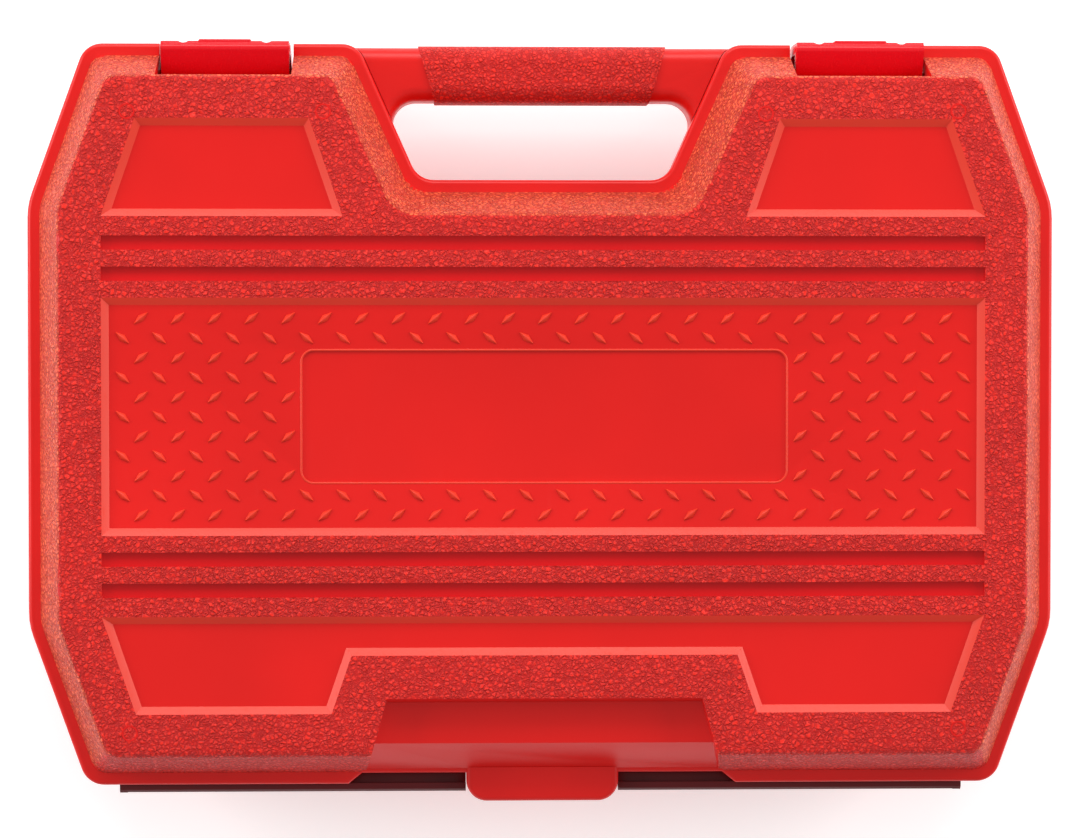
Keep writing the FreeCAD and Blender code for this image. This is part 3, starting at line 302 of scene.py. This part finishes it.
def plastic(name, colour, roughness, grain=0.0, cells=520.0, drift=0.06, ripple=0.0):
    """A moulded plastic: smooth, or with hide grain of a given height in millimetres."""
    material, tree, shader = new_material(name)
    tone = use_group(tree, PLASTIC_TONE, Base=(*colour, 1.0), Drift=drift)
    shader.inputs["Specular IOR Level"].default_value = 0.3
    shader.inputs["IOR"].default_value = 1.5
    rough = map_range(tree, tone.outputs["Scuffs"], 0.0, 1.0, roughness, roughness + 0.14)
    bump = add(tree, "ShaderNodeBump", Strength=1.0, Distance=grain * MM if grain else ripple * MM)
    if grain:
        etched = use_group(tree, MOULD_GRAIN, Cells=cells, Wander=0.55)
        tree.links.new(etched.outputs["Height"], bump.inputs["Height"])
        # painted shade: the base colour is darkened in the creases between the grain's pebbles, as the shade
        # that falls in them
        painted_crease_shade = tree.nodes.new("ShaderNodeMix")
        painted_crease_shade.data_type = "RGBA"
        painted_crease_shade.blend_type = "MULTIPLY"
        painted_crease_shade.inputs[7].default_value = (0.5, 0.1, 0.25, 1.0)
        tree.links.new(math_node(tree, "MULTIPLY", etched.outputs["Creases"], 0.95), painted_crease_shade.inputs[0])
        tree.links.new(tone.outputs["Color"], painted_crease_shade.inputs[6])
        tree.links.new(painted_crease_shade.outputs[2], shader.inputs["Base Color"])
        rough = math_node(tree, "ADD", rough, math_node(tree, "MULTIPLY", etched.outputs["Creases"], 0.12))
    else:
        tree.links.new(tone.outputs["Color"], shader.inputs["Base Color"])
        flow = add(tree, "ShaderNodeTexNoise", Scale=60.0, Detail=2.0)
        place = tree.nodes.new("ShaderNodeTexCoord")
        tree.links.new(place.outputs["Object"], flow.inputs["Vector"])
        tree.links.new(flow.outputs[0], bump.inputs["Height"])
    tree.links.new(rough, shader.inputs["Roughness"])
    tree.links.new(bump.outputs["Normal"], shader.inputs["Normal"])
    return material


def metal(name, colour, roughness, brushed=0.0, smears=0.08):
    """Plated or bare steel, with faint smears and, where it is ground, fine lines."""
    material, tree, shader = new_material(name)
    shader.inputs["Metallic"].default_value = 1.0
    place = tree.nodes.new("ShaderNodeTexCoord")
    smear = add(tree, "ShaderNodeTexNoise", Scale=120.0, Detail=4.0, Roughness=0.6)
    tree.links.new(place.outputs["Object"], smear.inputs["Vector"])
    spread = map_range(tree, smear.outputs[0], 0.35, 0.7, roughness, roughness + smears)
    tree.links.new(spread, shader.inputs["Roughness"])
    tint = add(tree, "ShaderNodeMix", data_type="RGBA")
    tint.inputs[6].default_value = (*colour, 1.0)
    tint.inputs[7].default_value = (*[c * 0.82 for c in colour], 1.0)
    tree.links.new(map_range(tree, smear.outputs[0], 0.45, 0.7), tint.inputs[0])
    tree.links.new(tint.outputs[2], shader.inputs["Base Color"])
    lines = add(tree, "ShaderNodeTexNoise", Scale=2200.0, Detail=2.0)
    stretch = tree.nodes.new("ShaderNodeMapping")
    stretch.inputs["Scale"].default_value = (1.0, 1.0, 0.04) if brushed else (1.0, 1.0, 1.0)
    tree.links.new(place.outputs["Object"], stretch.inputs["Vector"])
    tree.links.new(stretch.outputs["Vector"], lines.inputs["Vector"])
    bump = add(tree, "ShaderNodeBump", Strength=1.0, Distance=max(brushed, 0.002) * MM)
    tree.links.new(lines.outputs[0], bump.inputs["Height"])
    tree.links.new(bump.outputs["Normal"], shader.inputs["Normal"])
    return material


RED_FACE = (0.90, 0.024, 0.012)
RED_SMOOTH = (0.69, 0.008, 0.006)
GRAINED_RED = plastic("grained_red", RED_FACE, 0.42, grain=0.55, cells=640.0)
# painted sheen: a lighter, more orange copy of the grained red for the lid's slopes that face the lamps,
# standing in for the lamps' sheen on them
SHEEN_SLOPE_RED = plastic("painted_sheen_slope", (0.98, 0.14, 0.05), 0.42, grain=0.7, cells=640.0)
# painted highlight: a lighter copy of the smooth red for the panels' walls, the treads and the label bead,
# standing in for the light they catch
HIGHLIT_EDGE_RED = plastic("painted_highlight_edge", (0.76, 0.040, 0.018), 0.36, ripple=0.03)
GRIP_RED = plastic("grip_red", RED_FACE, 0.45, grain=0.5, cells=700.0)
SMOOTH_RED = plastic("smooth_red", RED_SMOOTH, 0.34, ripple=0.03)
# painted shade: a darker copy of the smooth red for the grooves, standing in for the shade that lies in them
SHADED_GROOVE_RED = plastic("painted_shade_groove", (0.60, 0.002, 0.004), 0.34, ripple=0.03)
LATCH_RED = plastic("latch_red", (0.68, 0.004, 0.012), 0.26, drift=0.03, ripple=0.02)
# painted shade: the living hinge is the case's red plastic, given a near-black red that stands in for the
# deep shade it lies in under the lid
SHADED_HINGE_RED = plastic("painted_shade_hinge", (0.10, 0.002, 0.004), 0.4, ripple=0.05)
INNER_RED = plastic("inner_red", (0.60, 0.012, 0.014), 0.4, ripple=0.05)
BLACK_GRIP = plastic("black_grip", (0.018, 0.018, 0.02), 0.5, grain=0.08, cells=900.0, drift=0.2)
BLACK_RUBBER = plastic("black_rubber", (0.02, 0.02, 0.02), 0.7, ripple=0.1, drift=0.2)
SATIN_CHROME = metal("satin_chrome", (0.78, 0.79, 0.80), 0.2)
BRIGHT_CHROME = metal("bright_chrome", (0.82, 0.83, 0.84), 0.1)
GROUND_STEEL = metal("ground_steel", (0.46, 0.46, 0.48), 0.3, brushed=0.01)


# ---------------------------------------------------------------- lid

def inside(outline, x, y):
    """Whether a point lies in a closed outline."""
    crossings = 0
    for (x0, y0), (x1, y1) in zip(outline, outline[1:] + outline[:1]):
        if (y0 > y) != (y1 > y) and x < x0 + (y - y0) * (x1 - x0) / (y1 - y0):
            crossings += 1
    return crossings % 2 == 1


def panel_outlines():
    """The outlines of what is sunk in the lid's face."""
    width, near, far = PANEL_HALF_WIDTH, TRAPEZOID_NEAR, TRAPEZOID_FAR
    outlines = [[(-width, -CENTRE_HALF_DEPTH), (width, -CENTRE_HALF_DEPTH),
                 (width, CENTRE_HALF_DEPTH), (-width, CENTRE_HALF_DEPTH)]]
    for side in (-1, 1):
        outlines.append([(side * width, -near), (side * TRAPEZOID_SIDE, -far),
                         (side * TRAPEZOID_INNER_FAR, -far), (side * TRAPEZOID_INNER_NEAR, -near)])
    outlines.append([(-width, near), (width, near), (TRAPEZOID_SIDE, far), (BAR_FOOT, far),
                     (BAR_HALF_WIDTH, BAR_EDGE), (-BAR_HALF_WIDTH, BAR_EDGE), (-BAR_FOOT, far),
                     (-TRAPEZOID_SIDE, far)])
    for centre in GROOVES:
        for side in (-1, 1):
            low, high = side * centre - GROOVE_HALF_WIDTH, side * centre + GROOVE_HALF_WIDTH
            outlines.append([(-width, low), (width, low), (width, high), (-width, high)])
    return outlines


PANELS = panel_outlines()


def is_grained(middle, normal, z_face, z_rim, up):
    """The hide grain covers the face and the slopes, and leaves out rims, panels and recesses."""
    x, y = middle.x, middle.y - MIDDLE_Y
    if (middle.z - z_rim) * up < 0.4 * MM or normal.z * up < 0.1:
        return False
    sunk = (z_face - middle.z) * up
    if sunk < FACE_PLAY:
        return True
    if y > RECESS_EDGE and abs(x) < RECESS_HALF_WIDTH + RECESS_FLARE * (y - RECESS_EDGE):
        return False
    if NOTCH_INNER < abs(x) < NOTCH_OUTER and y < NOTCH_EDGE:
        return False
    if normal.z * up > 0.98 and SUNK_LEAST < sunk < SUNK_MOST:
        return False
    if sunk > PANEL_DEPTH + 1.0 * MM:
        return True
    return not any(inside(outline, x, y) for outline in PANELS)


# the faces near a groove's middle and below the face, which get the painted shade of the grooves
def is_in_groove(middle):
    far_y = abs(middle.y - MIDDLE_Y)
    near_centre = any(abs(far_y - centre) < GROOVE_SHADE_REACH for centre in GROOVES)
    return near_centre and middle.z < FACE_Z - 0.4 * MM


def lid():
    piece = copy_of("lid_shell", "lid")
    soften(piece, 0.7 * MM)
    paint(piece, SMOOTH_RED, GRAINED_RED, SHEEN_SLOPE_RED, HIGHLIT_EDGE_RED, SHADED_GROOVE_RED)
    smooth_red, grained_red, painted_sheen_slope, painted_highlight_edge, painted_shade_groove = range(5)
    for face in piece.data.polygons:
        # slopes that face the lamps get the painted-sheen copy of the grained red; the rear slope, away from
        # the lamps, keeps the plain grained red
        lamp_facing_slope = 0.1 < face.normal.z < 0.8 and face.normal.y < 0.6
        panel_wall = 0.2 < face.normal.z < 0.96 and face.center.z > FACE_Z - PANEL_DEPTH - 0.1 * MM
        # the grooves get the painted-shade copy of the smooth red
        if is_in_groove(face.center):
            face.material_index = painted_shade_groove
        elif is_grained(face.center, face.normal, FACE_Z, FLANGE_TOP_Z, 1):
            face.material_index = painted_sheen_slope if lamp_facing_slope else grained_red
        else:
            # the panels' walls get the painted-highlight copy of the smooth red
            face.material_index = painted_highlight_edge if panel_wall else smooth_red
    smooth(piece)
    finish_piece(piece, "lid_shell", "lid")


# raised treads on the middle panel: rows of pointed lozenges that lean left and right by turns
TREAD_LENGTH, TREAD_WIDTH, TREAD_HEIGHT = 7.0 * MM, 2.7 * MM, 0.8 * MM
TREAD_PITCH, ROW_PITCH = 11.93 * MM, 6.405 * MM
TREAD_ROWS = 11
TREAD_LEAN = 40.0
LABEL_ROWS = range(2, 9)
LONG_ROW, SHORT_ROW = 24, 23
LABEL_MARGIN = 2.2 * MM


def one_tread():
    """A lozenge: pointed at both ends, with a ridge along it."""
    bpy.ops.mesh.primitive_cylinder_add(vertices=4, radius=0.5, depth=1.0,
                                        location=(0, 0, 0.5 * TREAD_HEIGHT))
    tread = bpy.context.active_object
    tread.scale = (TREAD_LENGTH, TREAD_WIDTH, TREAD_HEIGHT)
    settle(tread)
    into_edit(tread)
    select_faces(tread, lambda middle, normal: normal.z > 0.9)
    bpy.ops.transform.resize(value=(0.66, 0.22, 1.0))
    out_of_edit()
    soften(tread, 0.28 * MM, segments=2)
    into_edit(tread)
    select_faces(tread, lambda middle, normal: normal.z < -0.9)
    bpy.ops.mesh.delete(type="FACE")
    out_of_edit()
    return tread


def treads():
    pattern = one_tread()
    floor_z = FACE_Z - PANEL_DEPTH
    copies = []
    for row in range(TREAD_ROWS):
        odd = row % 2 == 0
        count = SHORT_ROW if odd else LONG_ROW
        y = MIDDLE_Y + (row - (TREAD_ROWS - 1) / 2) * ROW_PITCH
        for column in range(count):
            x = (column - (count - 1) / 2) * TREAD_PITCH
            if row in LABEL_ROWS and abs(x) < LABEL_HALF_WIDTH + LABEL_MARGIN:
                continue
            tread = bpy.data.objects.new("tread", pattern.data.copy())
            scene.collection.objects.link(tread)
            tread.location = (x, y, floor_z)
            tread.rotation_euler.z = math.radians(TREAD_LEAN if odd else -TREAD_LEAN)
            copies.append(tread)
    bpy.data.objects.remove(pattern)
    bpy.context.view_layer.update()
    make_active(copies[0])
    for tread in copies:
        tread.select_set(True)
    bpy.ops.object.join()
    piece = bpy.context.active_object
    piece.name = "lid_treads"
    settle(piece)
    smooth(piece, 40)
    # painted highlight: the treads get the lighter copy of the smooth red
    paint(piece, HIGHLIT_EDGE_RED)
    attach(piece, "lid")


LABEL_HALF_DEPTH, LABEL_CORNER = 21.7 * MM, 4.0 * MM
BEAD_RADIUS, BEAD_RISE = 0.42 * MM, 0.16 * MM


def label_bead():
    """The fine raised line that frames the plain middle of the centre panel."""
    bpy.ops.mesh.primitive_plane_add(size=1.0, location=(0, 0, 0))
    piece = bpy.context.active_object
    piece.name = "label_bead"
    piece.scale = (2 * LABEL_HALF_WIDTH, 2 * LABEL_HALF_DEPTH, 1.0)
    settle(piece)
    bpy.ops.object.mode_set(mode="EDIT")
    bpy.ops.mesh.select_all(action="SELECT")
    bpy.ops.mesh.bevel(offset=LABEL_CORNER, segments=8, affect="VERTICES")
    bpy.ops.mesh.delete(type="ONLY_FACE")
    out_of_edit()
    bpy.ops.object.convert(target="CURVE")
    piece = bpy.context.active_object
    piece.data.bevel_depth = BEAD_RADIUS
    piece.data.bevel_resolution = 3
    bpy.ops.object.convert(target="MESH")
    piece = bpy.context.active_object
    piece.location = (0, MIDDLE_Y, FACE_Z - PANEL_DEPTH - BEAD_RADIUS + BEAD_RISE)
    settle(piece)
    smooth(piece, 60)
    # painted highlight: the bead gets the lighter copy of the smooth red
    paint(piece, HIGHLIT_EDGE_RED)
    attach(piece, "lid")


VENT_RADIUS = 2.6 * MM
VENTS = [(135.5, -99.0, 40), (72.0, -99.0, -35), (-72.0, -98.5, 30), (-135.0, -99.5, -30),
         (135.0, 103.0, -20), (-135.5, 102.5, 25)]


def vents():
    """The closed blow-needle holes near the corners: low round plugs with a slot."""
    made = []
    for x, y, turn in VENTS:
        bpy.ops.mesh.primitive_cylinder_add(vertices=32, radius=VENT_RADIUS, depth=1.0 * MM,
                                            location=(0, 0, -0.42 * MM))
        plug = bpy.context.active_object
        settle(plug)
        into_edit(plug)
        select_faces(plug, lambda middle, normal: normal.z > 0.9)
        bpy.ops.mesh.inset(thickness=0.45 * MM, depth=0)
        bpy.ops.mesh.inset(thickness=0.15 * MM, depth=-0.18 * MM)
        out_of_edit()
        bpy.ops.mesh.primitive_cube_add(size=1.0, location=(0, 0, 0))
        slot = bpy.context.active_object
        slot.scale = (3.0 * MM, 0.55 * MM, 1.0 * MM)
        settle(slot)
        apply_modifier(plug, "BOOLEAN", object=slot, operation="DIFFERENCE")
        bpy.data.objects.remove(slot)
        plug.location = (x * MM, y * MM + MIDDLE_Y, FACE_Z)
        plug.rotation_euler.z = math.radians(turn)
        made.append(plug)
    bpy.context.view_layer.update()
    make_active(made[0])
    for plug in made:
        plug.select_set(True)
    bpy.ops.object.join()
    piece = bpy.context.active_object
    piece.name = "vent_plugs"
    settle(piece)
    smooth(piece, 40)
    paint(piece, SMOOTH_RED)
    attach(piece, "lid")


# ---------------------------------------------------------------- base, handle, latches and hinge

def base():
    piece = copy_of("base_shell", "base")
    soften(piece, 0.7 * MM)
    paint(piece, SMOOTH_RED, GRAINED_RED)
    rim_z = 2 * PARTING_Z - FLANGE_TOP_Z
    for face in piece.data.polygons:
        x, y = face.center.x, face.center.y - MIDDLE_Y
        sunk = abs(x) < PANEL_HALF_WIDTH and abs(y) < GROOVES[1] and face.center.z > 0.2 * MM
        grained = is_grained(face.center, face.normal, BASE_LOW.z, rim_z, -1) and not sunk
        face.material_index = int(grained)
    smooth(piece)
    finish_piece(piece, "base_shell", "base")


GRIP_HALF_LENGTH, GRIP_SLANT = 41.3 * MM, 0.29
HANDLE_OUTER = 122.5 * MM


def handle():
    piece = copy_of("carry_handle", "handle")
    soften(piece, 0.8 * MM, degrees=30)
    paint(piece, SMOOTH_RED, GRIP_RED)
    outer_y = MIDDLE_Y - HANDLE_OUTER
    for face in piece.data.polygons:
        half_length = GRIP_HALF_LENGTH - GRIP_SLANT * max(0.0, face.center.y - outer_y)
        face.material_index = int(abs(face.center.x) < half_length)
    smooth(piece, 38)
    finish_piece(piece, "carry_handle", "base")


def latches():
    for side in ("left", "right"):
        piece = copy_of("latch_" + side, "snap_latch_" + side)
        soften(piece, 0.45 * MM)
        paint(piece, LATCH_RED)
        smooth(piece)
        finish_piece(piece, "latch_" + side, "latch_" + side)


def hinge():
    piece = copy_of("hinge_web", "living_hinge")
    soften(piece, 0.25 * MM, segments=2, degrees=50)
    # painted shade: the hinge gets the near-black red in place of the shade under the lid
    paint(piece, SHADED_HINGE_RED)
    smooth(piece)
    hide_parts("hinge_web")
    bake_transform(piece)


def inner_skins():
    for node, name, body in (("base_tray", "tool_tray", "base"), ("tray_rim", "tray_edge", "base"),
                             ("lid_liner", "lid_lining", "lid")):
        piece = copy_of(node, name)
        soften(piece, 0.6 * MM, segments=2)
        paint(piece, INNER_RED)
        smooth(piece)
        finish_piece(piece, node, body)


# ---------------------------------------------------------------- tools

TOOL_FINISH = {
    "ratchet_body": (BRIGHT_CHROME, 0.5), "extension_bar_long": (BRIGHT_CHROME, 0.3),
    "extension_bar_short": (BRIGHT_CHROME, 0.3), "ratchet_grip": (BLACK_GRIP, 0.6),
    "drive_gear": (GROUND_STEEL, 0.0), "drive_ball": (BRIGHT_CHROME, 0.0),
    "extension_balls": (BRIGHT_CHROME, 0.0), "head_cover_plate": (SATIN_CHROME, 0.2),
    "cover_screws": (GROUND_STEEL, 0.0), "pawl": (GROUND_STEEL, 0.0), "pawl_spring": (GROUND_STEEL, 0.0),
    "button_spring": (GROUND_STEEL, 0.0), "release_button": (SATIN_CHROME, 0.2),
    "selector_lever": (SATIN_CHROME, 0.3), "latch_pins": (GROUND_STEEL, 0.2),
    "plug_insert_16": (BLACK_RUBBER, 0.3), "plug_insert_21": (BLACK_RUBBER, 0.3),
}


def tools():
    bodies = {node: body for body, nodes in frame["record"]["behaviour"]["bodies"].items() for node in nodes}
    for node in sorted(frame["nodes"]):
        if "socket" in node:
            material, rounding = SATIN_CHROME, 0.25
        elif node in TOOL_FINISH:
            material, rounding = TOOL_FINISH[node]
        else:
            continue
        piece = copy_of(node, node + "_finished")
        if rounding:
            soften(piece, rounding * MM, segments=2, degrees=28)
        paint(piece, material)
        smooth(piece)
        finish_piece(piece, node, bodies[node])


lid()
treads()
label_bead()
vents()
base()
handle()
latches()
hinge()
inner_skins()
tools()


# ---------------------------------------------------------------- floor, light and camera

FLOOR_GLOW = 0.35
WORLD_LIGHT = 0.5
FRONT_POWER, SIDE_POWER = 19.0, 11.5


def floor():
    bpy.ops.mesh.primitive_plane_add(size=12.0, location=(0, 0, cad_box[0][2] - 0.0005))
    plane = bpy.context.active_object
    plane.name = "floor"
    material, tree, shader = new_material("pale_floor")
    shader.inputs["Base Color"].default_value = (0.94, 0.94, 0.94, 1.0)
    shader.inputs["Roughness"].default_value = 0.8
    shader.inputs["Emission Color"].default_value = (1.0, 1.0, 1.0, 1.0)
    shader.inputs["Emission Strength"].default_value = FLOOR_GLOW
    paint(plane, material)


def area_light(name, place, target, width, height, power):
    data = bpy.data.lights.new(name, "AREA")
    data.shape = "RECTANGLE"
    data.size, data.size_y = width, height
    data.energy = power
    lamp = bpy.data.objects.new(name, data)
    scene.collection.objects.link(lamp)
    lamp.location = place
    lamp.rotation_euler = (Vector(target) - Vector(place)).to_track_quat("-Z", "Y").to_euler()


def lights():
    world = bpy.data.worlds.new("studio")
    world.use_nodes = True
    world.node_tree.nodes["Background"].inputs["Color"].default_value = (1.0, 1.0, 1.0, 1.0)
    world.node_tree.nodes["Background"].inputs["Strength"].default_value = WORLD_LIGHT
    scene.world = world
    area_light("front_softbox", (0.0, -1.4, 0.95), (0, 0, 0.04), 1.6, 0.7, FRONT_POWER)
    area_light("left_softbox", (1.4, -0.3, 0.65), (0, 0, 0.04), 1.0, 0.6, SIDE_POWER)
    area_light("right_softbox", (-1.4, -0.3, 0.65), (0, 0, 0.04), 1.0, 0.6, SIDE_POWER)


# the camera looks down on the lid, with the handle at the top of the view
CAMERA_DISTANCE = 1.173
FIELD_WIDTH = 0.3587
SENSOR_WIDTH = 36.0
RIM_Z = PARTING_Z + 5.0 * MM
AIM = Vector((0.8 * MM, MIDDLE_Y + 1.4 * MM, RIM_Z))
LEAN_RIGHT, LEAN_DOWN = math.radians(-2.0), math.radians(-1.5)


def camera():
    data = bpy.data.cameras.new("camera")
    data.sensor_width = SENSOR_WIDTH
    data.lens = SENSOR_WIDTH * CAMERA_DISTANCE / FIELD_WIDTH
    view = bpy.data.objects.new("camera", data)
    scene.collection.objects.link(view)
    view.rotation_euler = (LEAN_DOWN, LEAN_RIGHT, math.pi)
    view.rotation_mode = "XYZ"
    bpy.context.view_layer.update()
    toward = view.matrix_world.to_quaternion() @ Vector((0, 0, -1))
    view.location = AIM - toward * CAMERA_DISTANCE
    scene.camera = view


scene.view_settings.view_transform = "Standard"
floor()
lights()
camera()
